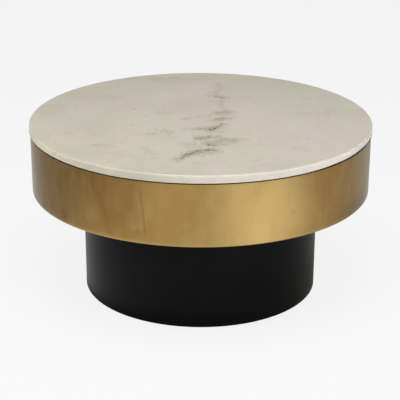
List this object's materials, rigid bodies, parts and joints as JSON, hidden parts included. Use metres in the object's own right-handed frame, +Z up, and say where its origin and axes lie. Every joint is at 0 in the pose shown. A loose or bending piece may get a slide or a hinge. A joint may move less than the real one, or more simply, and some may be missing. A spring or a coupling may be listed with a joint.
{
  "type": "round cocktail table",
  "caption": "Round cocktail table with a marble slab top over a deep antique-brass band, standing on a smaller black drum base with hidden screw feet.",
  "frame": {"origin": "on the floor, under the middle of the table", "axes": "+Z up, square to the slab; the pictured front faces -Y, +X is to the right"},
  "size_m": [0.7999, 0.8, 0.41],
  "materials": {
    "marble": "polished",
    "bond_silicone": "matte",
    "black_board": "black stain",
    "antique_brass": "antiqued, brushed",
    "frame_steel": "primer",
    "black_coat": "satin powder coat",
    "zinc_steel": "zinc plated",
    "foot_plastic": "matte"
  },
  "bodies": {
    "table": {"marble_top": "marble", "bond_pads": "bond_silicone", "top_board": "black_board", "underside_panel": "black_board", "brass_band": "antique_brass", "upper_hoop": "frame_steel", "lower_hoop": "frame_steel", "board_tabs": "frame_steel", "lip_tabs": "frame_steel", "upper_tube_long": "frame_steel", "upper_tube_back": "frame_steel", "upper_tube_front": "frame_steel", "lower_bar_long": "frame_steel", "lower_bar_back": "frame_steel", "lower_bar_front": "frame_steel", "post_right": "frame_steel", "post_back": "frame_steel", "post_left": "frame_steel", "post_front": "frame_steel", "base_drum": "black_coat", "base_plate": "black_coat", "foot_ring": "black_coat", "board_screws": "zinc_steel", "lip_screws": "zinc_steel", "base_bolts": "zinc_steel", "bolt_washers": "zinc_steel", "bolt_weld_nuts": "zinc_steel", "foot_weld_nuts": "zinc_steel"},
    "pad_right": {"foot_pad_right": "foot_plastic"},
    "stud_right": {"foot_stud_right": "zinc_steel"},
    "pad_back": {"foot_pad_back": "foot_plastic"},
    "stud_back": {"foot_stud_back": "zinc_steel"},
    "pad_left": {"foot_pad_left": "foot_plastic"},
    "stud_left": {"foot_stud_left": "zinc_steel"},
    "pad_front": {"foot_pad_front": "foot_plastic"},
    "stud_front": {"foot_stud_front": "zinc_steel"}
  },
  "joints": [
    {"name": "foot_travel_right", "type": "slide", "parent": "table", "child": "pad_right", "axis": [0, 0, -1], "range_m": [0, 0.01]},
    {"name": "foot_turn_right", "type": "hinge", "parent": "pad_right", "child": "stud_right", "pos_m": [0.2477, 0, 0], "axis": [0, 0, -1], "range_deg": [0, 2880]},
    {"name": "foot_travel_back", "type": "slide", "parent": "table", "child": "pad_back", "axis": [0, 0, -1], "range_m": [0, 0.01]},
    {"name": "foot_turn_back", "type": "hinge", "parent": "pad_back", "child": "stud_back", "pos_m": [0, 0.2477, 0], "axis": [0, 0, -1], "range_deg": [0, 2880]},
    {"name": "foot_travel_left", "type": "slide", "parent": "table", "child": "pad_left", "axis": [0, 0, -1], "range_m": [0, 0.01]},
    {"name": "foot_turn_left", "type": "hinge", "parent": "pad_left", "child": "stud_left", "pos_m": [-0.2477, 0, 0], "axis": [0, 0, -1], "range_deg": [0, 2880]},
    {"name": "foot_travel_front", "type": "slide", "parent": "table", "child": "pad_front", "axis": [0, 0, -1], "range_m": [0, 0.01]},
    {"name": "foot_turn_front", "type": "hinge", "parent": "pad_front", "child": "stud_front", "pos_m": [0, -0.2477, 0], "axis": [0, 0, -1], "range_deg": [0, 2880]}
  ],
  "couplings": [
    {"joint": "foot_turn_right", "follows": "foot_travel_right", "rad_per_m": 5026.5},
    {"joint": "foot_turn_back", "follows": "foot_travel_back", "rad_per_m": 5026.5},
    {"joint": "foot_turn_left", "follows": "foot_travel_left", "rad_per_m": 5026.5},
    {"joint": "foot_turn_front", "follows": "foot_travel_front", "rad_per_m": 5026.5}
  ]
}
